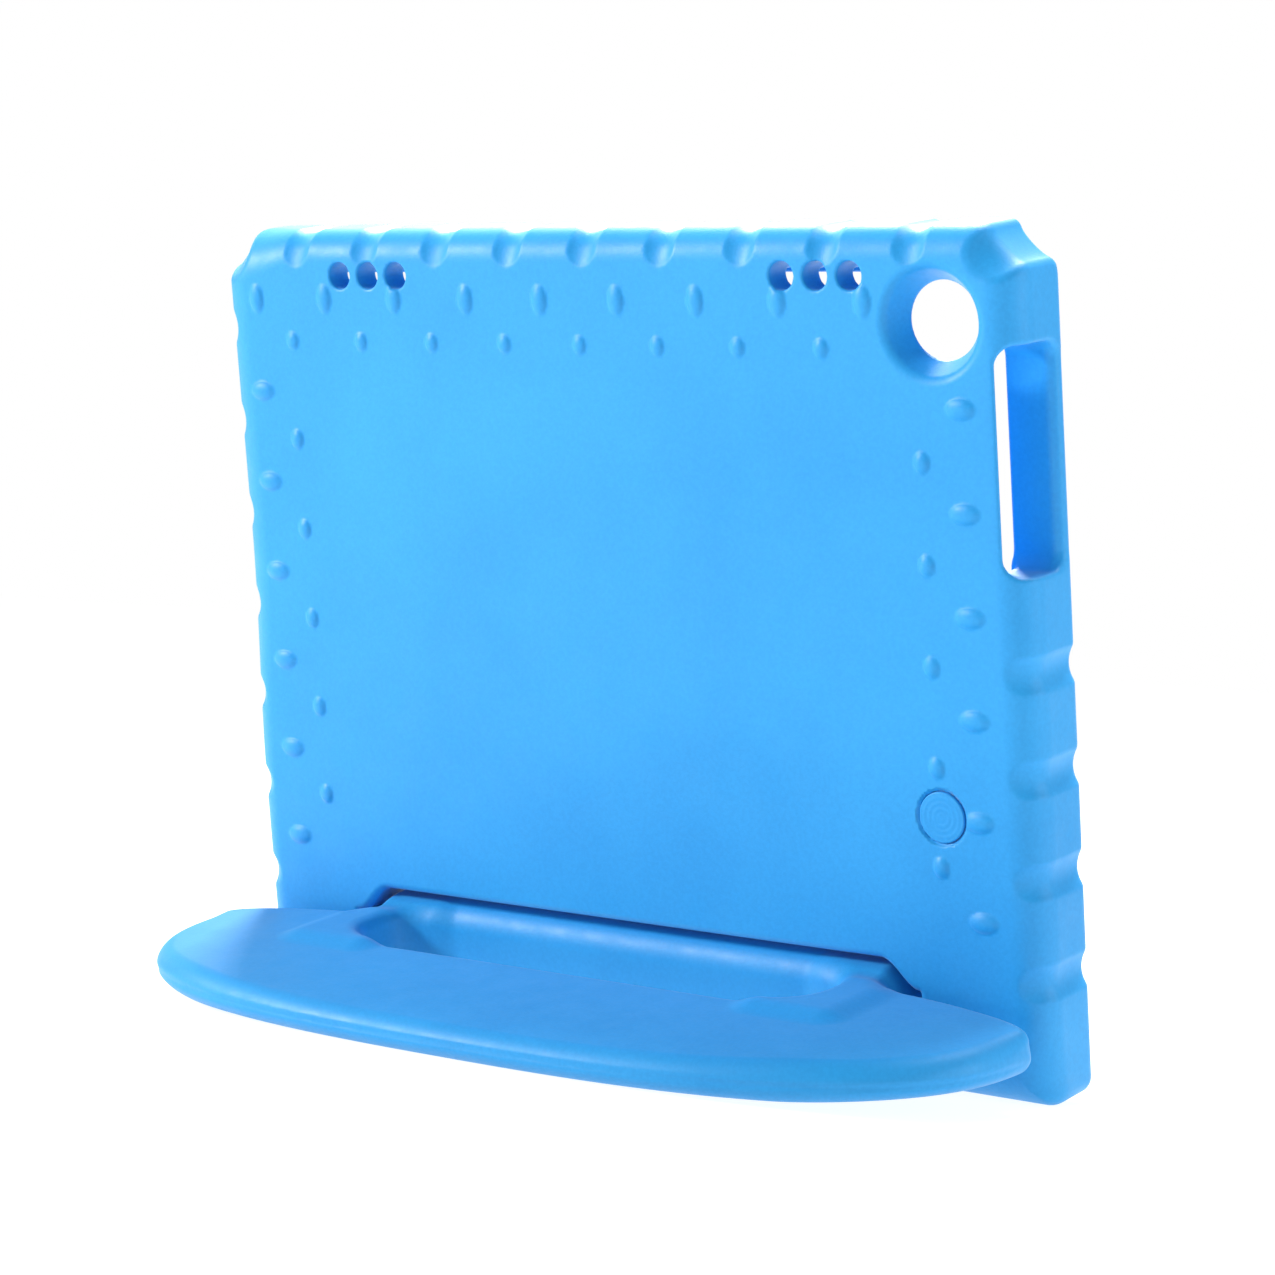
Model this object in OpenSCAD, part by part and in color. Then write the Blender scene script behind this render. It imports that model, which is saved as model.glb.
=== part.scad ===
// Moulded foam case for a 10 inch tablet, with a swing-out wing handle that is also its stand.
// Millimetres, +Z up, +X along the long edge, -Y towards the back of the case and the handle.
// Origin: centre of the footprint of the standing case, on the surface that it stands on.

/* [Case] */
// overall width of the case
case_w = 270; // [200:1:320]
// height of the case, measured along its own leaning plane
case_h = 226; // [170:1:260]
// thickness of the case from the back face to the front lip
case_t = 24; // [18:0.5:30]
// angle that the standing case leans back over its handle
lean = 12.5; // [0:0.5:30]
// rounding of the back edges
back_r = 9; // [3:0.5:10]
// rounding of the front edges
front_r = 4; // [2:0.5:6]
// outline radius of the top corners
corner_r = 15; // [8:1:25]
// rounding of the ears where they roll onto the ground
ear_r = 10; // [6:0.5:11]

/* [Tablet pocket] */
// width of the tablet that the pocket holds
tablet_w = 243.6; // [180:0.1:290]
// height of the tablet
tablet_h = 168.6; // [110:0.1:200]
// thickness of the tablet
tablet_t = 8.7; // [6:0.1:12]
// thickness of the foam behind the tablet
back_wall = 8.3; // [4:0.1:12]
// foam above the top edge of the tablet
top_wall = 11.4; // [6:0.1:16]
// overlap of the front lip over the tablet's edge
lip = 2; // [2:0.5:12]

/* [Back face] */
// centre of the camera opening, from the middle of the case and from its bottom
camera_at = [110.3, 201.7]; // [0:0.1:300]
// radius of the camera opening at the back face
camera_r_out = 14.2; // [8:0.1:18]
// radius of the camera opening at the tablet
camera_r_in = 10; // [5:0.1:14]
// radius of one speaker hole
speaker_r = 3.8; // [1.5:0.1:5]
// depth of the speaker holes
speaker_depth = 13; // [6:0.5:18]
// distance between neighbouring bumps along the top and down the sides
bump_pitch = [26, 26.3]; // [15:0.1:40]
// height of the bumps above the back face
bump_h = 0.8; // [0.3:0.1:2]
// centre of the round plug in the back face
plug_at = [106.7, 75.5]; // [0:0.1:200]
// radius of the round plug
plug_r = 6.8; // [4:0.1:10]
// depth of the round plug
plug_t = 4; // [2:0.1:6]

/* [Side cut-out] */
// height of the lower and upper end of the cut-out for the ports
cut_z = [138, 196]; // [20:0.5:230]
// width of back face that stays beside the cut-out, from the middle of the case
cut_x = 128.4; // [124:0.1:131]
// depth of the cut-out from the back face
cut_y = 18.6; // [10:0.1:20]

/* [Handle] */
// half width of the handle
wing_w = 139; // [100:1:142]
// how far the handle reaches out from the back face
wing_reach = 80; // [50:1:110]
// gap between the back face and the rear edge of the handle
wing_gap = 4.7; // [4.5:0.1:8]
// height of the handle's top face on the case
wing_top = 29.8; // [24:0.1:34]
// finger slot: half width
slot_w = 78; // [40:1:85]
// finger slot: far edge, from the back face
slot_reach = 27; // [20:1:40]
// half length of the neck bar that turns in the notch
neck_w = 91.5; // [80:0.5:92]
// radius of the round hub at each end of the neck
hub_r = 11.7; // [9:0.1:11.9]
// half length from the middle of the case to the outer face of a hub
hub_w = 94.5; // [92:0.5:95]

/* [Hinge] */
// height of the hinge axis on the case
hinge_z = 16; // [12:0.5:20]
// radius of the hinge pins
pin_r = 3; // [2:0.1:5]
// half length from the middle of the case to the tip of a pin
pin_end = 118; // [105:0.5:122]
// running clearance between a pin and its socket
pin_clear = 0.05; // [0.01:0.01:0.1]
// radius of the stiff core inside the neck
core_r = 7; // [5:0.1:9]
// radius of the sockets in the ears
socket_r = 7; // [5:0.1:9]

/* [Hidden] */
$fn = 48;
eps = 0.01;
foam = [0.26, 0.66, 0.95];
hard_plastic = [0.16, 0.2, 0.26];
steel = [0.72, 0.73, 0.75];
half_w = case_w / 2;
hinge_y = case_t / 2;
// notch in the lower edge: half widths at its top and at its foot, and the two heights
notch_top_w = 85;
notch_foot_w = 97;
notch_top_z = 35.7;
notch_foot_z = 28.6;
pocket_top = case_h - top_wall;
pocket_foot = pocket_top - tablet_h;
pocket_front = back_wall + tablet_t;
// cross-section of the neck bar: lower back corner, tops of its middle and its ends, rounding
neck_foot = [0.3, 4.3];
neck_top = [33.6, 28.6];
neck_round = [6, 6, 8, 8];
neck_mid_w = 86;
// lengths along X in the hinge, from the middle outwards
washer_t = 1.7;
flange_r = 9;
flange_t = 1.5;
socket_end = 120;
pin_start = 64;
core_w = 90;
// thumb scallops along the edges
scallop_r = 9.3;
scallop_depth = 1.3;
corner_scoop_r = 9.6;
top_scallops = [for (i = [0:8]) -101.5 + 25.75 * i];
left_scallops = [for (i = [0:6]) 36.5 + 27 * i];
right_scallops = [for (i = [0:3]) 33.7 + 26.6 * i];
// speaker holes
speaker_z = case_h - 12.5;
speaker_x = [-85.2, -74.8, -64.4, 66, 76.4, 86.8];
// bumps in two staggered rows on three sides of the back face
bump_top = case_h - 19;
bump_foot = 48.9;
bump_col = 118;
bump_in = 12;
// underside and edge of the handle: rise per millimetre of reach
wing_foot = 12.4;
wing_foot_tilt = 4.7;
wing_edge = 18.4;
wing_edge_tilt = 3.9;
wing_mid = 18;
slot_r = 12;
// standing position: the ears touch with their rounding
stand_d = ear_r * (sin(lean) + cos(lean) - 1);
edge_front_z = wing_edge + wing_reach * tan(wing_edge_tilt);
foot_min_y = -(wing_reach * cos(lean) + edge_front_z * sin(lean));
foot_max_y = (case_t - front_r) * cos(lean) - front_r * sin(lean) + front_r;
shift_y = -(foot_min_y + foot_max_y) / 2;

// the case and its handle are drawn upright; this leans them into the standing position
module stand() {
    translate([0, shift_y, -stand_d]) rotate([lean, 0, 0]) children();
}

// rectangle with its own radius at each corner: [x, y] size, radii from the origin anticlockwise
module rounded_box2d(size, r) {
    difference() {
        square(size);
        rounded_off(r[0]);
        translate([size[0], 0]) rotate(90) rounded_off(r[1]);
        translate(size) rotate(180) rounded_off(r[2]);
        translate([0, size[1]]) rotate(-90) rounded_off(r[3]);
    }
}

module rounded_off(r) {
    difference() {
        translate([-1, -1]) square(r + 1);
        translate([r, r]) circle(r);
    }
}

// extrusions of a flat shape through the case: along X, and along Y from y0 to y1
module along_x(x0, x1) {
    translate([x0, 0, 0]) rotate([90, 0, 90]) linear_extrude(x1 - x0) children();
}

module along_y(y0, y1) {
    translate([0, y1, 0]) rotate([90, 0, 0]) linear_extrude(y1 - y0) children();
}

module mirror_x() {
    children();
    mirror([1, 0, 0]) children();
}

// S-curved notch that the neck of the handle turns in
function s_curve(t) = (1 - cos(180 * t)) / 2;
module notch2d() {
    polygon(concat(
        [[notch_foot_w, -5], [notch_foot_w, notch_foot_z]],
        [for (t = [0.1:0.1:1])
            [notch_foot_w - (notch_foot_w - notch_top_w) * t,
             notch_foot_z + (notch_top_z - notch_foot_z) * s_curve(t)]],
        [for (t = [1:-0.1:0.1])
            [-notch_foot_w + (notch_foot_w - notch_top_w) * t,
             notch_foot_z + (notch_top_z - notch_foot_z) * s_curve(t)]],
        [[-notch_foot_w, notch_foot_z], [-notch_foot_w, -5]]));
}

module case_blank() {
    intersection() {
        along_y(0, case_t)
            translate([-half_w, 0])
                rounded_box2d([case_w, case_h], [4, 4, corner_r, corner_r]);
        along_x(-half_w - 1, half_w + 1)
            rounded_box2d([case_t, case_h], [ear_r, front_r, front_r, back_r]);
        translate([-half_w, 0, -1]) linear_extrude(case_h + 2)
            rounded_box2d([case_w, case_t], [back_r, back_r, front_r, front_r]);
    }
}

module tablet_pocket() {
    translate([-tablet_w / 2, back_wall, pocket_foot]) cube([tablet_w, tablet_t, tablet_h]);
    along_y(pocket_front - 1, case_t + 1)
        translate([-tablet_w / 2 + lip, pocket_foot + lip])
            rounded_box2d([tablet_w - 2 * lip, tablet_h - 2 * lip], [6, 6, 6, 6]);
}

module camera_opening() {
    translate([camera_at[0], 0, camera_at[1]]) rotate([-90, 0, 0]) {
        cylinder(h = back_wall, r1 = camera_r_out, r2 = camera_r_in);
        translate([0, 0, -2]) cylinder(h = 2 + eps, r = camera_r_out);
        translate([0, 0, back_wall - eps]) cylinder(h = 1, r = camera_r_in);
    }
}

// cut through the side: slanted from the back flange to the pocket, rounded over the front lip
module side_cut() {
    r = 4;
    x = tablet_w / 2 - lip - 1;
    translate([0, 0, cut_z[0]]) linear_extrude(cut_z[1] - cut_z[0])
        polygon(concat(
            [[half_w + 5, -1], [cut_x, -1], [cut_x, 0.6], [x, back_wall], [x, cut_y]],
            [for (a = [0:15:90]) [half_w - r + r * sin(a), cut_y + r - r * cos(a)]],
            [[half_w + 5, cut_y + r]]));
}

// one thumb scallop: a shallow channel across the edge that ends in a round print on the back
module scallop() {
    translate([0, 6, scallop_r - scallop_depth]) {
        rotate([-90, 0, 0]) cylinder(h = case_t, r = scallop_r);
        sphere(scallop_r);
    }
}

module scallops() {
    for (x = top_scallops) translate([x, 0, case_h]) scallop();
    for (z = left_scallops) translate([-half_w, 0, z]) rotate([0, -90, 0]) scallop();
    for (z = right_scallops) translate([half_w, 0, z]) rotate([0, 90, 0]) scallop();
    for (s = [-1, 1])
        translate([s * (half_w + 0.4), 6, case_h + 0.4]) {
            rotate([-90, 0, 0]) cylinder(h = case_t, r = corner_scoop_r);
            sphere(corner_scoop_r);
        }
}

module bump(x, z) {
    r = 4;
    translate([x, r - bump_h, z]) sphere(r);
}

module bumps() {
    for (i = [0:8]) bump(-117.5 + bump_pitch[0] * i, bump_top);
    for (i = [0:7]) bump(-104.7 + bump_pitch[0] * i, bump_top - bump_in);
    for (s = [-1, 1], i = [0:5]) bump(s * bump_col, bump_foot + bump_pitch[1] * i);
    for (s = [-1, 1], i = [0:4])
        bump(s * (bump_col - bump_in), bump_foot + bump_pitch[1] * (i + 0.5));
}

module hinge_line(x0, x1, r) {
    translate([x0, hinge_y, hinge_z]) rotate([0, 90, 0]) cylinder(h = x1 - x0, r = r);
}

module case_shell() {
    color(foam) stand() difference() {
        union() {
            case_blank();
            intersection() {
                bumps();
                along_y(-2, back_wall / 2) translate([-half_w, 0]) square([case_w, case_h]);
            }
        }
        tablet_pocket();
        along_y(-2, case_t + 1) notch2d();
        camera_opening();
        for (x = speaker_x)
            translate([x, -1, speaker_z]) rotate([-90, 0, 0])
                cylinder(h = speaker_depth + 1, r = speaker_r);
        side_cut();
        scallops();
        translate([plug_at[0], 0, plug_at[1]]) rotate([-90, 0, 0]) {
            translate([0, 0, -1]) cylinder(h = plug_t + 1, r = plug_r);
            translate([0, 0, -1]) cylinder(h = 1.8, r = plug_r + 0.7);
        }
        mirror_x() {
            hinge_line(notch_foot_w - 1, socket_end, socket_r);
            hinge_line(notch_foot_w - 1, notch_foot_w + flange_t, flange_r);
        }
    }
}

module back_plug() {
    color(foam) stand()
        translate([plug_at[0], 0, plug_at[1]]) rotate([-90, 0, 0])
            cylinder(h = plug_t, r = plug_r);
}

// closed bush with a flange, drawn for the +X ear
module hinge_socket() {
    color(hard_plastic) stand() difference() {
        union() {
            hinge_line(notch_foot_w, socket_end, socket_r);
            hinge_line(notch_foot_w, notch_foot_w + flange_t, flange_r);
        }
        hinge_line(notch_foot_w - 1, pin_end + 0.4, pin_r + pin_clear);
    }
}

module hinge_pin() {
    color(steel) stand() hinge_line(pin_start, pin_end, pin_r);
}

module hinge_washer() {
    color(hard_plastic) stand() difference() {
        hinge_line(hub_w, hub_w + washer_t, 8.5);
        hinge_line(hub_w - 1, hub_w + washer_t + 1, pin_r);
    }
}

// plan of the handle: rounder towards the front than towards the case
function wing_side(a, n) = sign(cos(a)) * pow(abs(cos(a)), 2 / n);
function wing_depth(a, n) = sign(sin(a)) * pow(abs(sin(a)), 2 / n);
function wing_outline(inset) = concat(
    [for (i = [0:32]) let (a = 180 * i / 32)
        [(wing_w - inset) * wing_side(a, 2.3),
         -wing_mid - (wing_reach - wing_mid - inset) * wing_depth(a, 2.3)]],
    [for (i = [1:15]) let (a = 180 + 180 * i / 16)
        [(wing_w - inset) * wing_side(a, 4),
         -wing_mid - (wing_mid - wing_gap - inset / 3) * wing_depth(a, 4)]]);

module wing_layer(z, tilt, inset) {
    translate([0, 0, z]) rotate([-tilt, 0, 0])
        linear_extrude(eps) polygon(wing_outline(inset));
}

module wing_plate() {
    hull() {
        wing_layer(wing_top - eps, 0, 9);
        wing_layer(wing_top - 1.2, 0, 4.5);
        wing_layer(wing_top - 3.2, 0, 2);
        wing_layer(wing_edge, wing_edge_tilt, 0);
        wing_layer(wing_foot + 2.2, wing_foot_tilt, 1.4);
        wing_layer(wing_foot, wing_foot_tilt, 5.5);
    }
}

// joins the neck to the plate at one end of the finger slot
module wing_arm() {
    arm_x = slot_w - slot_r;
    w = neck_w - arm_x;
    hull() {
        translate([arm_x, hinge_y, hinge_z]) rotate([0, 90, 0])
            cylinder(h = w, r = hub_r, $fn = 32);
        translate([arm_x, -34, wing_foot + 5]) cube([w, 4, wing_top - wing_foot - 5.5]);
        translate([arm_x, -wing_gap - 6, wing_top - 2]) cube([w, 1, 1.6]);
    }
}

module finger_slot() {
    size = [2 * slot_w, slot_reach + neck_foot[0]];
    translate([-slot_w, -slot_reach, 0]) linear_extrude(60)
        rounded_box2d(size, [slot_r, slot_r, slot_r, slot_r]);
}

module neck_bar(w, top) {
    size = [case_t - 2 * neck_foot[0], top - neck_foot[1]];
    along_x(-w, w) translate(neck_foot) rounded_box2d(size, neck_round);
}

module handle_grip() {
    color(foam) stand() difference() {
        union() {
            difference() {
                union() {
                    wing_plate();
                    mirror_x() wing_arm();
                }
                finger_slot();
            }
            hinge_line(-hub_w, hub_w, hub_r);
            neck_bar(neck_mid_w, neck_top[0]);
            neck_bar(neck_w, neck_top[1]);
        }
        hinge_line(-core_w, core_w, core_r);
        hinge_line(-hub_w - 1, hub_w + 1, pin_r);
    }
}

module handle_core() {
    color(hard_plastic) stand() difference() {
        hinge_line(-core_w, core_w, core_r);
        mirror_x() hinge_line(pin_start, core_w + 1, pin_r);
    }
}

case_shell();
back_plug();
mirror([1, 0, 0]) hinge_socket();  // hinge_socket_left
hinge_socket();  // hinge_socket_right
handle_grip();
handle_core();
mirror([1, 0, 0]) hinge_pin();  // hinge_pin_left
hinge_pin();  // hinge_pin_right
mirror([1, 0, 0]) hinge_washer();  // hinge_washer_left
hinge_washer();  // hinge_washer_right
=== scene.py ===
"""Looks of the foam tablet case: foam surfaces, materials, floor, light and camera.

The foam pieces are zero surfaces of signed distance fields, meshed here. A field is negative
inside the foam, takes arrays of x, y and z in case millimetres, and gives millimetres.
"""
import math

import bpy
import numpy as np
from mathutils import Matrix, Vector


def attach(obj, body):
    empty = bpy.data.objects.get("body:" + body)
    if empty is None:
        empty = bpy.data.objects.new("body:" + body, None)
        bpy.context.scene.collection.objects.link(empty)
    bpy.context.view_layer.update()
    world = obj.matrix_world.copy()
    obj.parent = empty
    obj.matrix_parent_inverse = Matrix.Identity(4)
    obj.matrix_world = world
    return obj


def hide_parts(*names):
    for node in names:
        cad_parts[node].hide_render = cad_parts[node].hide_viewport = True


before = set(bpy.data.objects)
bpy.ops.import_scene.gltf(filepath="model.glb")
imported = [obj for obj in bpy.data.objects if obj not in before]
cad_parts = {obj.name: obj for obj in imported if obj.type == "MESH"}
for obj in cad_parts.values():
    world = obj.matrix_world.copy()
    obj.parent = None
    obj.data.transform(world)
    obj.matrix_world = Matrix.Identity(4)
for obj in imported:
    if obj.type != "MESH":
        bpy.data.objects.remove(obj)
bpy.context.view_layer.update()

# ---------------------------------------------------------------- the case's own frame
# Shapes are written in millimetres on the upright case: x along the long edge, y from the
# back face to the front lip, z up from the foot of the ears. to_row() leans them back.
LEAN = math.radians(12.5)
SIN, COS = math.sin(LEAN), math.cos(LEAN)
CASE_W, CASE_H, CASE_T = 270.0, 226.0, 24.0
HINGE_Y, HINGE_Z = 12.0, 16.0
EAR_R = 10.0
STAND_D = EAR_R * (SIN + COS - 1)
REACH = 80.0
EDGE_Z, EDGE_TILT = 18.4, math.tan(math.radians(3.9))
SHIFT_Y = (REACH * COS + (EDGE_Z + REACH * EDGE_TILT) * SIN
           - (CASE_T - 4) * COS + 4 * SIN - 4) / 2


def to_row(p):
    """Case millimetres to row-frame metres, for an (n, 3) array."""
    q = np.empty_like(p)
    q[:, 0] = p[:, 0]
    q[:, 1] = p[:, 1] * COS - p[:, 2] * SIN + SHIFT_Y
    q[:, 2] = p[:, 1] * SIN + p[:, 2] * COS - STAND_D
    return q / 1000.0


def turn_row(n):
    """Case directions to row-frame directions, for an (n, 3) array."""
    q = np.empty_like(n)
    q[:, 0] = n[:, 0]
    q[:, 1] = n[:, 1] * COS - n[:, 2] * SIN
    q[:, 2] = n[:, 1] * SIN + n[:, 2] * COS
    return q


# ---------------------------------------------------------------- distance fields
def length(*v):
    return np.sqrt(sum(c * c for c in v))


def cut_round(a, b, r):
    """Intersection of two fields with a rounded edge."""
    return (np.minimum(np.maximum(a, b), -r)
            + length(np.maximum(a + r, 0), np.maximum(b + r, 0)))


def carve(a, b, r):
    """Field a less field b, with a rounded rim."""
    return cut_round(a, -b, r)


def join_round(a, b, r):
    """Union of two fields with a fillet between them."""
    return (np.maximum(np.minimum(a, b), r)
            - length(np.maximum(r - a, 0), np.maximum(r - b, 0)))


def smooth(t):
    """Soft step from 0 to 1 as t goes from 0 to 1."""
    t = np.clip(t, 0, 1)
    return t * t * (3 - 2 * t)


def rect(u, v, u0, u1, v0, v1, r):
    """Rectangle with rounded corners."""
    qu = np.abs(u - (u0 + u1) / 2) - (u1 - u0) / 2 + r
    qv = np.abs(v - (v0 + v1) / 2) - (v1 - v0) / 2 + r
    return (np.minimum(np.maximum(qu, qv), 0)
            + length(np.maximum(qu, 0), np.maximum(qv, 0)) - r)


def fold(u, first, pitch, count):
    """Distance along u to the nearest of count evenly spaced places."""
    i = np.clip(np.round((u - first) / pitch), 0, count - 1)
    return u - first - i * pitch


def ellipsoid(x, y, z, a, b, c):
    """Near distance to an ellipsoid with those half axes."""
    k0 = length(x / a, y / b, z / c)
    k1 = length(x / a ** 2, y / b ** 2, z / c ** 2)
    return k0 * (k0 - 1) / np.maximum(k1, 1e-6)


def polygon(u, v, pts):
    """Signed distance to a closed polygon, negative inside."""
    u, v = np.broadcast_arrays(u, v)
    shape = u.shape
    u, v = u.ravel(), v.ravel()
    best = np.full(u.shape, 1e18)
    inside = np.zeros(u.shape, bool)
    for (ax, ay), (bx, by) in zip(pts, np.roll(pts, -1, 0)):
        ex, ey = bx - ax, by - ay
        wx, wy = u - ax, v - ay
        t = np.clip((wx * ex + wy * ey) / (ex * ex + ey * ey), 0, 1)
        best = np.minimum(best, (wx - ex * t) ** 2 + (wy - ey * t) ** 2)
        if ay != by:
            crosses = (ay > v) != (by > v)
            inside ^= crosses & (u < ax + (v - ay) * ex / ey)
    return (np.sqrt(best) * np.where(inside, -1.0, 1.0)).reshape(shape)


# ---------------------------------------------------------------- the case
BACK_R, FRONT_R = 9.0, 4.0
NOTCH_TOP_W, NOTCH_FOOT_W = 85.0, 97.0
NOTCH_TOP_Z, NOTCH_FOOT_Z = 35.7, 27.8
BACK_WALL, POCKET_Y = 8.3, 17.0
POCKET = (-121.8, 121.8, 46.0, 214.6)
WINDOW = (-119.8, 119.8, 48.0, 212.6)
CAMERA, CAMERA_R, CAMERA_TAPER = (110.3, 201.7), 14.2, 0.578
PLUG, PLUG_R, PLUG_T = (106.7, 75.5), 6.8, 4.0
CUT_X, CUT_Z, CUT_Y, CUT_INNER = 128.4, (138.0, 196.0), 18.6, 118.8
SPEAKER_Z, SPEAKER_R, SPEAKER_DEPTH = 213.5, 3.7, 13.0
# evenly spaced features: (first place, pitch, count)
LEFT_SPEAKERS, RIGHT_SPEAKERS = (-85.2, 10.4, 3), (66.0, 10.4, 3)
TOP_SCALLOPS = (-101.5, 25.75, 9)
RIGHT_SCALLOPS, LEFT_SCALLOPS = (33.7, 26.6, 4), (36.5, 27.0, 7)
# a scallop's radius and depth, and how far it comes in from the top and from the sides
SCALLOP_R, SCALLOP_DEPTH = 9.3, 1.3
SCALLOP_TOP, SCALLOP_SIDE = 220.6, 132.0
# bumps: centre below the back face; then places, half width, rise and half height
BUMP_SINK = 1.6
ROW_BUMPS = (((-117.5, 26, 9), 207, (3.4, 1.1, 5.4)),
             ((-104.7, 26, 8), 195, (3.0, 0.95, 3.6)))
COLUMN_BUMPS = ((118, (48.9, 26.3, 6), (5.4, 1.2, 3.5)),
                (106, (62.3, 26.1, 5), (3.1, 1.05, 3.8)))
SOCKET_R, FLANGE_R = 7.05, 9.05
OUTSIDE = 145.0


def cut_points():
    """Plan of the side cut-out: slanted behind, rounded over onto the front lip."""
    a, r = np.linspace(0, np.pi / 2, 9), 4
    lip = np.stack([CASE_W / 2 - r + r * np.sin(a), CUT_Y + r - r * np.cos(a)], 1)
    behind = [[OUTSIDE, -6], [CUT_X, -6], [CUT_X, 0.6],
              [CUT_INNER, BACK_WALL], [CUT_INNER, CUT_Y]]
    return np.concatenate([behind, lip, [[OUTSIDE, CUT_Y + r]]])


def notch_points():
    """Outline of the notch in the lower edge, an S-curve at each end."""
    t = np.linspace(0, 1, 15)
    x = NOTCH_FOOT_W - (NOTCH_FOOT_W - NOTCH_TOP_W) * t
    z = NOTCH_FOOT_Z + (NOTCH_TOP_Z - NOTCH_FOOT_Z) * (1 - np.cos(np.pi * t)) / 2
    side = np.stack([np.r_[NOTCH_FOOT_W, x], np.r_[-30.0, z]], 1)
    return np.concatenate([side, (side * [-1, 1])[::-1]])


def blank(x, y, z):
    """The plain rounded block. Its upper left back edge is rounder, as in the soft case."""
    corner = np.where(z > 100, 15.0, 4.5)
    qx = np.abs(x) - CASE_W / 2 + corner
    qz = np.abs(z - CASE_H / 2) - CASE_H / 2 + corner
    plan = (np.minimum(np.maximum(qx, qz), 0)
            + length(np.maximum(qx, 0), np.maximum(qz, 0)) - corner)
    back_r = (BACK_R + np.clip((16 - z) / 10, 0, 1)
              + 5 * smooth((-x - 100) / 25) * smooth((z - 60) / 80))
    return cut_round(cut_round(plan, -y, back_r), y - CASE_T, FRONT_R)


def scalloped(d0, x, z):
    """The block less its thumb scallops and the large scoops across its top corners.

    They are channels of constant depth that wrap round the edge, so they follow d0.
    """
    lift = d0 - (SCALLOP_R - SCALLOP_DEPTH)
    top = length(lift, fold(x, *TOP_SCALLOPS), np.minimum(z - SCALLOP_TOP, 0)) - SCALLOP_R
    right = length(lift, fold(z, *RIGHT_SCALLOPS), np.minimum(x - SCALLOP_SIDE, 0)) - SCALLOP_R
    left = length(lift, fold(z, *LEFT_SCALLOPS), np.minimum(-x - SCALLOP_SIDE, 0)) - SCALLOP_R
    d = carve(d0, top, 0.3)
    d = carve(d, np.minimum(right, left), 0.3)
    ax = np.abs(x)
    along = ((ax - 120) + (z - 211)) * math.sqrt(0.5)
    across = ((ax - 120) - (z - 211)) * math.sqrt(0.5)
    scoop = length(d0 - 6.8, across, np.minimum(along - 11.5, 0)) - 9.6
    return carve(d, scoop, 1.0)


def bump_field(x, y, z):
    """Two staggered lines of bumps along the top and down both sides."""
    y = y - BUMP_SINK
    rows = [ellipsoid(fold(x, *places), y, z - height, a, BUMP_SINK + rise, c)
            for places, height, (a, rise, c) in ROW_BUMPS]
    columns = [ellipsoid(np.abs(x) - out, y, fold(z, *places), a, BUMP_SINK + rise, c)
               for out, places, (a, rise, c) in COLUMN_BUMPS]
    return np.minimum(np.minimum(*rows), np.minimum(*columns))


def case_field(x, y, z):
    d = scalloped(blank(x, y, z), x, z)
    d = join_round(d, bump_field(x, y, z), 0.3)
    # pocket for the tablet and the window in front of it
    cavity = cut_round(rect(x, z, *POCKET, 6.0),
                       np.maximum(BACK_WALL - y, y - POCKET_Y), 1.0)
    window = np.maximum(rect(x, z, *WINDOW, 8.0), 12.0 - y)
    d = carve(d, window, 2.5)
    d = carve(d, cavity, 1.2)
    # notch for the handle's neck
    d = carve(d, polygon(x, z, NOTCH_PTS), 2.2)
    # camera opening, wider at the back face
    rho = length(x - CAMERA[0], z - CAMERA[1])
    cone = (rho - CAMERA_R + CAMERA_TAPER * np.clip(y, -2, BACK_WALL)) * 0.866
    d = carve(d, np.maximum(cone, y - 10.5), 1.6)
    # speaker holes
    rho = np.minimum(length(fold(x, *LEFT_SPEAKERS), z - SPEAKER_Z),
                     length(fold(x, *RIGHT_SPEAKERS), z - SPEAKER_Z))
    d = carve(d, np.maximum(rho - SPEAKER_R, y - SPEAKER_DEPTH), 0.7)
    # side cut-out
    ends = np.maximum(CUT_Z[0] - z, z - CUT_Z[1])
    d = carve(d, cut_round(polygon(x, y, CUT_PTS), ends, 5.0), 1.2)
    # seat of the plug, with the groove round it
    rho = length(x - PLUG[0], z - PLUG[1])
    d = np.maximum(d, -np.maximum(rho - PLUG_R, y - PLUG_T))
    d = carve(d, length(rho - 6.9, y + 0.1) - 0.75, 0.2)
    # hinge sockets in the ears
    ax = np.abs(x)
    rho = length(y - HINGE_Y, z - HINGE_Z)
    bore = np.maximum(rho - SOCKET_R, np.maximum(96 - ax, ax - 120))
    flange = np.maximum(rho - FLANGE_R, np.maximum(96 - ax, ax - 98.5))
    return np.maximum(d, -np.minimum(bore, flange))


def plug_field(x, y, z):
    """Round plug with faint rings on its face."""
    rho = length(x - PLUG[0], z - PLUG[1])
    face = 0.03 * np.cos(rho * 2 * np.pi / 1.5) * np.clip(rho / 1.5, 0, 1) - y
    return cut_round(cut_round(rho - 6.75, face, 0.5), y - 3.98, 0.3)


# ---------------------------------------------------------------- the handle
WING_TOP, WING_FOOT, FOOT_TILT = 29.8, 12.6, math.tan(math.radians(4.7))
WING_W, WING_MID, WING_REAR = 139.0, 18.0, 13.3
SLOT = (-78, 78, -27, 0.3)
ARM = (66, 92.0, -34, 3)
NECK_BACK, NECK_FRONT, NECK_FOOT, NECK_TOP, NECK_END = 0.3, 23.7, 4.3, 33.6, 94.5
CORE_R, CORE_W, PIN_R = 7.02, 90, 3.02


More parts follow.
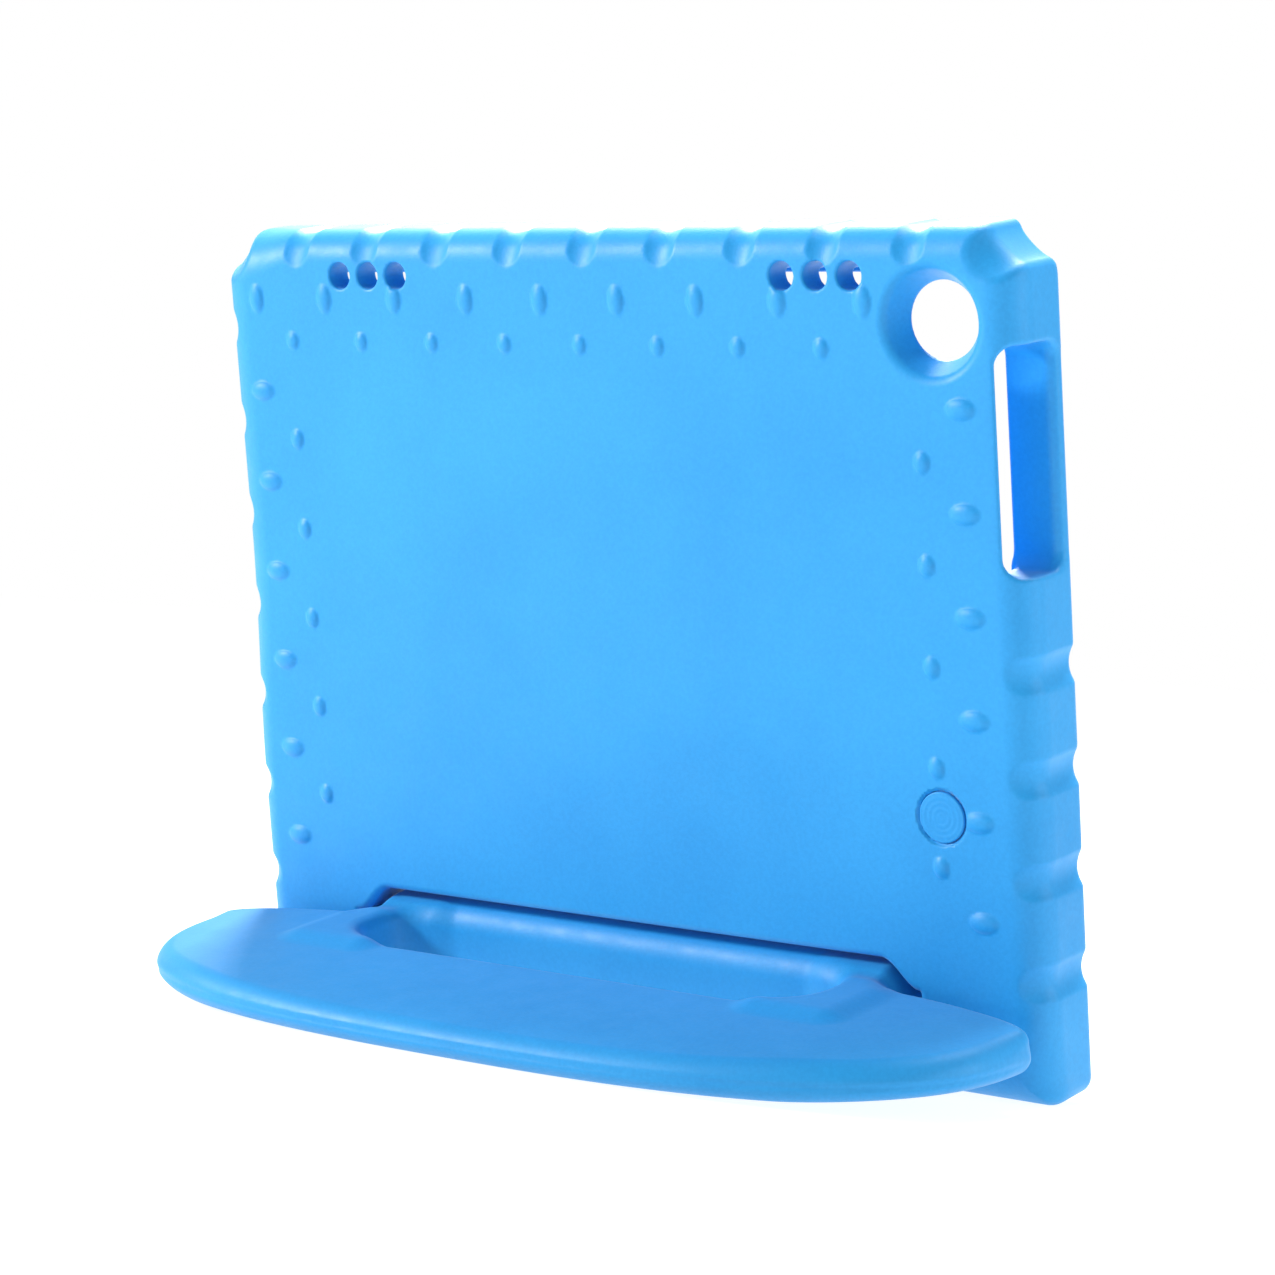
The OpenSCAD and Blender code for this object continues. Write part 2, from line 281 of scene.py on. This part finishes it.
def wing_points(count=120):
    """Plan of the wing as x and outward reach v: two halves of superellipses."""
    def power(c, n):
        return np.sign(c) * np.abs(c) ** (2 / n)
    a = np.linspace(0, np.pi, count)
    blunt = 2.65 - 0.15 * np.cos(a)
    front = np.stack([WING_W * power(np.cos(a), blunt),
                      WING_MID + (REACH - WING_MID) * power(np.sin(a), blunt)], 1)
    b = np.linspace(np.pi, 2 * np.pi, count // 2)[1:-1]
    rear = np.stack([WING_W * power(np.cos(b), 4),
                     WING_MID + WING_REAR * power(np.sin(b), 4)], 1)
    return np.concatenate([front, rear])


def wing_field(x, z, v):
    """The wing without its slot, for an outward reach v."""
    plan = polygon(x, v, WING_PTS)
    mid = EDGE_Z + v * EDGE_TILT
    outward = smooth((v - 6) / 18)
    # parting groove of the mould, along the rim
    groove = 0.45 * np.exp(-((z - mid) / 0.8) ** 2) * smooth((v - 12) / 12)
    wall = (plan + (0.05 + 0.11 * outward) * np.maximum(z - mid, 0)
            + 0.04 * np.maximum(mid - z, 0) + groove)
    # towards the tips the top comes down and the underside goes up
    past = np.maximum(np.abs(x) - 96, 0)
    bend = past ** 2 / (past + 10)
    top = z - WING_TOP + 0.0009 * np.maximum(v - 30, 0) ** 2 + 0.075 * bend
    foot = (WING_FOOT + v * FOOT_TILT + 0.06 * bend - z) * 0.9966
    return cut_round(cut_round(wall, top, 1.8 + 3.0 * outward), foot, 4.5)


def handle_field(x, y, z):
    v, ax = -y, np.abs(x)
    # arms that carry the wing on the neck, ramped up to it
    crown = NECK_TOP - 8.9 * smooth((ax - 85) / 11)
    ramp = 29.6 + np.maximum(crown - 32.8, -5.0) * smooth((13 - v) / 13)
    above = (z - ramp) * 0.95
    below = 9.5 + np.maximum(v, 0) * 0.25 - z
    arm = cut_round(rect(ax, y, *ARM, 3.0), np.maximum(above, below), 3.0)
    d = join_round(wing_field(x, z, v), arm, 7.0)
    d = carve(d, rect(x, y, *SLOT, 12.0), 5.0)
    # neck bar, lower at its ends
    back = cut_round(NECK_BACK - y, z - crown, 8.0)
    front = cut_round(y - NECK_FRONT, NECK_FOOT - z, 6.0)
    bar = cut_round(cut_round(back, front, 7.0), ax - NECK_END, 1.5)
    d = join_round(d, bar, 7.0)
    rho = length(y - HINGE_Y, z - HINGE_Z)
    return np.maximum(d, -np.minimum(np.maximum(rho - CORE_R, ax - CORE_W), rho - PIN_R))


NOTCH_PTS = notch_points()
CUT_PTS = cut_points()
WING_PTS = wing_points()


# ---------------------------------------------------------------- surface of a field
def steps(*stops):
    """Grid lines from (place, spacing, place, spacing, ..., place)."""
    out = [np.array([stops[0]], float)]
    for a, h, b in zip(stops[0::2], stops[1::2], stops[2::2]):
        n = max(1, int(round((b - a) / h)))
        out.append(np.linspace(a, b, n + 1)[1:])
    return np.concatenate(out)


def gradient(field, p, h=0.02):
    """Central differences of a field at an (n, 3) array of points."""
    x, y, z = p.T
    g = np.stack([field(x + h, y, z) - field(x - h, y, z),
                  field(x, y + h, z) - field(x, y - h, z),
                  field(x, y, z + h) - field(x, y, z - h)], 1)
    return g / (2 * h)


def settle(field, p, most=0.35):
    """Moves points onto the field's zero surface, by at most that much in each of 3 steps."""
    for _ in range(3):
        g = gradient(field, p)
        step = (field(*p.T) / np.maximum((g * g).sum(1), 0.25))[:, None] * g
        size = np.maximum(length(*step.T), 1e-9)[:, None]
        p = p - step * np.minimum(1, most / size)
    return p


def surface(field, xs, ys, zs):
    """Vertices and quads of the field's zero surface, one vertex in each cell it crosses."""
    f = field(xs[:, None, None], ys[None, :, None], zs[None, None, :])
    f = np.ascontiguousarray(np.broadcast_to(f, (len(xs), len(ys), len(zs))))
    s = f < 0
    total = np.zeros([n - 1 for n in s.shape], np.int8)
    for dx in (0, 1):
        for dy in (0, 1):
            for dz in (0, 1):
                total += s[dx:len(xs) - 1 + dx, dy:len(ys) - 1 + dy, dz:len(zs) - 1 + dz]
    # a vertex for each crossed cell, at the mean of the crossings on its edges
    cells = np.argwhere((total > 0) & (total < 8))
    index = np.full(total.shape, -1, np.int32)
    i, j, k = cells.T
    index[i, j, k] = np.arange(len(cells))
    corners = [(a, b, c) for a in (0, 1) for b in (0, 1) for c in (0, 1)]
    value = {c: f[i + c[0], j + c[1], k + c[2]] for c in corners}
    place = {c: np.stack([xs[i + c[0]], ys[j + c[1]], zs[k + c[2]]], 1) for c in corners}
    acc = np.zeros((len(cells), 3))
    hits = np.zeros(len(cells))
    for a in corners:
        for axis in range(3):
            if a[axis]:
                continue
            b = tuple(1 if m == axis else a[m] for m in range(3))
            fa, fb = value[a], value[b]
            cross = (fa < 0) != (fb < 0)
            t = np.where(cross, fa / np.where(cross, fa - fb, 1), 0)[:, None]
            acc += np.where(cross[:, None], place[a] * (1 - t) + place[b] * t, 0)
            hits += cross
    p = acc / hits[:, None]
    # a quad for each crossed grid edge, between the four cells that share it
    quads = []
    for axis in range(3):
        u, w = [m for m in range(3) if m != axis]
        lo = [slice(1, -1)] * 3
        hi = [slice(1, -1)] * 3
        lo[axis], hi[axis] = slice(0, -1), slice(1, None)
        a, b = s[tuple(lo)], s[tuple(hi)]
        edges = np.argwhere(a != b)
        first_in = a[tuple(edges.T)]
        base = edges.copy()
        base[:, u] += 1
        base[:, w] += 1
        ring = []
        for du, dw in ((-1, -1), (0, -1), (0, 0), (-1, 0)):
            c = base.copy()
            c[:, u] += du
            c[:, w] += dw
            ring.append(index[tuple(c.T)])
        q = np.stack(ring, 1)
        flip = first_in if axis != 1 else ~first_in
        q = np.where(flip[:, None], q, q[:, ::-1])
        quads.append(q)
    return settle(field, p), np.concatenate(quads)


def foam_piece(name, field, grid, faces):
    """The field's surface as a smooth object of at most that many triangles."""
    p, quads = surface(field, *grid)
    mesh = bpy.data.meshes.new(name)
    mesh.vertices.add(len(p))
    mesh.vertices.foreach_set("co", p.astype(np.float32).ravel())
    mesh.loops.add(quads.size)
    mesh.loops.foreach_set("vertex_index", quads.astype(np.int32).ravel())
    mesh.polygons.add(len(quads))
    mesh.polygons.foreach_set("loop_start", np.arange(0, quads.size, 4, dtype=np.int32))
    mesh.polygons.foreach_set("loop_total", np.full(len(quads), 4, np.int32))
    mesh.update(calc_edges=True)
    mesh.validate()
    obj = bpy.data.objects.new(name, mesh)
    bpy.context.scene.collection.objects.link(obj)
    if 2 * len(quads) > faces:
        thin = obj.modifiers.new("thin", "DECIMATE")
        thin.ratio = faces / (2 * len(quads))
        deps = bpy.context.evaluated_depsgraph_get()
        obj.data = bpy.data.meshes.new_from_object(obj.evaluated_get(deps))
        obj.modifiers.clear()
        bpy.data.meshes.remove(mesh)
        mesh = obj.data
        mesh.name = name
    p = np.empty(3 * len(mesh.vertices), np.float32)
    mesh.vertices.foreach_get("co", p)
    p = settle(field, p.reshape(-1, 3).astype(float))
    normals = gradient(field, p)
    normals /= np.maximum(length(*normals.T), 1e-9)[:, None]
    mesh.vertices.foreach_set("co", to_row(p).astype(np.float32).ravel())
    mesh.polygons.foreach_set("use_smooth", np.ones(len(mesh.polygons), bool))
    mesh.update()
    mesh.normals_split_custom_set_from_vertices(turn_row(normals).tolist())
    print(name, len(mesh.vertices), "vertices", len(mesh.polygons), "faces")
    return obj


fine = 0.75       # grid spacing of the large pieces
plug_step = 0.3
case = foam_piece("case_foam", case_field, (
    steps(-136.4, fine, 136.4), steps(-2, fine, 11, 1.2 * fine, 25.4),
    steps(-1.4, fine, 227.2)), 196000)
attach(case, "case")
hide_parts("case_shell")

handle = foam_piece("handle_foam", handle_field, (
    steps(-140.4, fine, 140.4), steps(-81.4, fine, 25.2), steps(1.6, fine, 35.6)), 180000)
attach(handle, "handle")
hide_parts("handle_grip")

plug = foam_piece("plug_foam", plug_field, (
    steps(PLUG[0] - 7.6, plug_step, PLUG[0] + 7.6), steps(-0.9, plug_step, 4.8),
    steps(PLUG[1] - 7.6, plug_step, PLUG[1] + 7.6)), 30000)
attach(plug, "case")
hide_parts("back_plug")


# ---------------------------------------------------------------- materials
def noise(tree, place, scale, detail=2.0, roughness=0.5):
    """A noise of about that many features to the metre."""
    node = tree.nodes.new("ShaderNodeTexNoise")
    node.inputs["Scale"].default_value = scale
    node.inputs["Detail"].default_value = detail
    node.inputs["Roughness"].default_value = roughness
    tree.links.new(place, node.inputs["Vector"])
    return node.outputs["Fac"]


def spread(tree, value, a, b, lo, hi):
    """Maps a value from a..b to lo..hi."""
    node = tree.nodes.new("ShaderNodeMapRange")
    for key, v in zip(("From Min", "From Max", "To Min", "To Max"), (a, b, lo, hi)):
        node.inputs[key].default_value = v
    tree.links.new(value, node.inputs["Value"])
    return node.outputs["Result"]


def mix_colour(tree, fac, a, b):
    """Mixes two colours, each given as (r, g, b) or as a node's output."""
    node = tree.nodes.new("ShaderNodeMix")
    node.data_type = "RGBA"
    for key, colour in ((6, a), (7, b)):
        if isinstance(colour, tuple):
            node.inputs[key].default_value = (*colour, 1)
        else:
            tree.links.new(colour, node.inputs[key])
    if isinstance(fac, float):
        node.inputs[0].default_value = fac
    else:
        tree.links.new(fac, node.inputs[0])
    return node.outputs[2]


def bump(tree, height, distance, strength, under=None):
    """Bump of a height in metres, over another normal if there is one."""
    node = tree.nodes.new("ShaderNodeBump")
    node.inputs["Strength"].default_value = strength
    node.inputs["Distance"].default_value = distance
    tree.links.new(height, node.inputs["Height"])
    if under is not None:
        tree.links.new(under, node.inputs["Normal"])
    return node.outputs["Normal"]


def start(name):
    """A new material with a Principled shader: material, tree, shader and place."""
    m = bpy.data.materials.new(name)
    m.use_nodes = True
    tree = m.node_tree
    tree.nodes.clear()
    out = tree.nodes.new("ShaderNodeOutputMaterial")
    shader = tree.nodes.new("ShaderNodeBsdfPrincipled")
    tree.links.new(shader.outputs["BSDF"], out.inputs["Surface"])
    place = tree.nodes.new("ShaderNodeTexCoord").outputs["Object"]
    return m, tree, shader, place


def foam_material(name, light, deep):
    """Closed-cell foam with a moulded skin: faint clouding, fine cells, satin gloss."""
    m, tree, shader, place = start(name)
    cloud = spread(tree, noise(tree, place, 16, 3, 0.55), 0.32, 0.68, 0, 1)
    speck = spread(tree, noise(tree, place, 900, 2, 0.6), 0.35, 0.65, 0, 1)
    base = mix_colour(tree, cloud, light, deep)
    cells = mix_colour(tree, speck, tuple(c * 0.93 for c in deep), light)
    tree.links.new(mix_colour(tree, 0.3, base, cells), shader.inputs["Base Color"])
    gloss = spread(tree, noise(tree, place, 120, 3, 0.6), 0.3, 0.7, 0.43, 0.56)
    tree.links.new(gloss, shader.inputs["Roughness"])
    swell = bump(tree, noise(tree, place, 45, 2, 0.5), 0.0006, 0.25)
    grain = bump(tree, noise(tree, place, 1500, 3, 0.6), 0.00008, 0.55, swell)
    tree.links.new(grain, shader.inputs["Normal"])
    shader.inputs["Specular IOR Level"].default_value = 0.4
    shader.inputs["Sheen Weight"].default_value = 0.12
    shader.inputs["Sheen Roughness"].default_value = 0.45
    return m


def plastic_material(name, light, deep):
    """Matte moulded plastic with a fine spark-eroded grain."""
    m, tree, shader, place = start(name)
    cloud = spread(tree, noise(tree, place, 60, 3), 0.35, 0.65, 0, 1)
    tree.links.new(mix_colour(tree, cloud, light, deep), shader.inputs["Base Color"])
    gloss = spread(tree, noise(tree, place, 300, 2), 0.35, 0.65, 0.42, 0.58)
    tree.links.new(gloss, shader.inputs["Roughness"])
    tree.links.new(bump(tree, noise(tree, place, 1800, 2), 0.00005, 0.4),
                   shader.inputs["Normal"])
    return m


def steel_material(name):
    """Drawn wire: fine lines along X."""
    m, tree, shader, place = start(name)
    stretch = tree.nodes.new("ShaderNodeMapping")
    stretch.inputs["Scale"].default_value = (0.03, 1, 1)
    tree.links.new(place, stretch.inputs["Vector"])
    lines = noise(tree, stretch.outputs["Vector"], 2400, 2)
    tone = spread(tree, lines, 0.35, 0.65, 0, 1)
    tree.links.new(mix_colour(tree, tone, (0.58, 0.59, 0.61), (0.7, 0.71, 0.73)),
                   shader.inputs["Base Color"])
    tree.links.new(spread(tree, lines, 0.35, 0.65, 0.24, 0.38), shader.inputs["Roughness"])
    tree.links.new(bump(tree, lines, 0.00003, 0.3), shader.inputs["Normal"])
    shader.inputs["Metallic"].default_value = 1
    return m


foam = foam_material("foam_blue", (0.016, 0.33, 0.74), (0.008, 0.275, 0.66))
for piece in (case, handle):
    piece.data.materials.append(foam)
plug.data.materials.append(
    foam_material("foam_plug", (0.016, 0.325, 0.74), (0.008, 0.27, 0.66)))
dark = plastic_material("socket_plastic", (0.06, 0.075, 0.1), (0.045, 0.058, 0.08))
steel = steel_material("pin_steel")
for name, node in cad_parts.items():
    if not name.startswith("hinge_") and name != "handle_core":
        continue
    finish = steel if name.startswith("hinge_pin") else dark
    for s in node.material_slots:
        s.material = finish


# ---------------------------------------------------------------- floor, light and camera
def floor_material():
    """Lit paper: it glows a little, so that it stays white under soft light."""
    m, tree, shader, place = start("floor_paper")
    tone = spread(tree, noise(tree, place, 6, 2), 0.3, 0.7, 0, 1)
    colour = mix_colour(tree, tone, (0.3, 0.3, 0.3), (0.28, 0.28, 0.28))
    tree.links.new(colour, shader.inputs["Base Color"])
    shader.inputs["Roughness"].default_value = 0.95
    shader.inputs["Specular IOR Level"].default_value = 0.0
    shader.inputs["Emission Color"].default_value = (1, 1, 1, 1)
    shader.inputs["Emission Strength"].default_value = 0.9
    return m


def add_floor(half):
    """A square of paper on the ground, of that half width in metres."""
    mesh = bpy.data.meshes.new("floor")
    mesh.from_pydata([(-half, -half, 0), (half, -half, 0), (half, half, 0), (-half, half, 0)],
                     [], [(0, 1, 2, 3)])
    mesh.materials.append(floor_material())
    obj = bpy.data.objects.new("floor", mesh)
    bpy.context.scene.collection.objects.link(obj)


def area_light(name, place, target, size, power):
    """A round soft light in metres and watts, turned to face its target."""
    data = bpy.data.lights.new(name, "AREA")
    data.shape = "DISK"
    data.size = size
    data.energy = power
    obj = bpy.data.objects.new(name, data)
    obj.location = place
    away = obj.location - Vector(target)
    obj.rotation_mode = "QUATERNION"
    obj.rotation_quaternion = away.to_track_quat("Z", "Y")
    bpy.context.scene.collection.objects.link(obj)


def add_camera():
    """The camera is set by its place and turn in the case's own frame, in millimetres."""
    place = np.array([[581.09, -728.33, 290.38]])
    yaw, pitch, roll = 0.6628, 0.1862, -0.0649
    ahead = np.array([-math.sin(yaw) * math.cos(pitch), math.cos(yaw) * math.cos(pitch),
                      -math.sin(pitch)])
    level = np.array([math.cos(yaw), math.sin(yaw), 0])
    above = np.cross(level, ahead)
    right = math.cos(roll) * level + math.sin(roll) * above
    up = np.cross(right, ahead)
    axes = turn_row(np.array([right, up, -ahead]))
    matrix = np.eye(4)
    matrix[:3, :3] = axes.T
    matrix[:3, 3] = to_row(place)[0]
    data = bpy.data.cameras.new("camera")
    data.sensor_width = 36
    data.lens = 98.82
    data.clip_start, data.clip_end = 0.05, 50
    obj = bpy.data.objects.new("camera", data)
    obj.matrix_world = Matrix(matrix.tolist())
    bpy.context.scene.collection.objects.link(obj)
    bpy.context.scene.camera = obj


def make_world(strength):
    """White seen by the camera, dimmer as light on the object."""
    world = bpy.data.worlds.new("studio")
    world.use_nodes = True
    tree = world.node_tree
    out = next(n for n in tree.nodes if n.type == "OUTPUT_WORLD")
    light = tree.nodes["Background"]
    light.inputs["Color"].default_value = (1, 1, 1, 1)
    light.inputs["Strength"].default_value = strength
    seen = tree.nodes.new("ShaderNodeBackground")
    seen.inputs["Color"].default_value = (1, 1, 1, 1)
    seen.inputs["Strength"].default_value = 1.0
    mix = tree.nodes.new("ShaderNodeMixShader")
    tree.links.new(tree.nodes.new("ShaderNodeLightPath").outputs["Is Camera Ray"],
                   mix.inputs["Fac"])
    tree.links.new(light.outputs["Background"], mix.inputs[1])
    tree.links.new(seen.outputs["Background"], mix.inputs[2])
    tree.links.new(mix.outputs["Shader"], out.inputs["Surface"])
    bpy.context.scene.world = world


add_camera()
add_floor(6)
area_light("key", (-1.35, -1.15, 0.8), (0, 0, 0.1), 0.4, 36)
area_light("rear", (-0.65, 0.85, 1.25), (0, 0, 0.15), 0.45, 36)
area_light("overhead", (0.05, 0.4, 1.4), (0, 0, 0.15), 0.6, 26)
area_light("side", (1.6, 0.2, 0.5), (0, 0, 0.1), 1.0, 9)
make_world(0.36)
bpy.context.scene.view_settings.view_transform = "Standard"
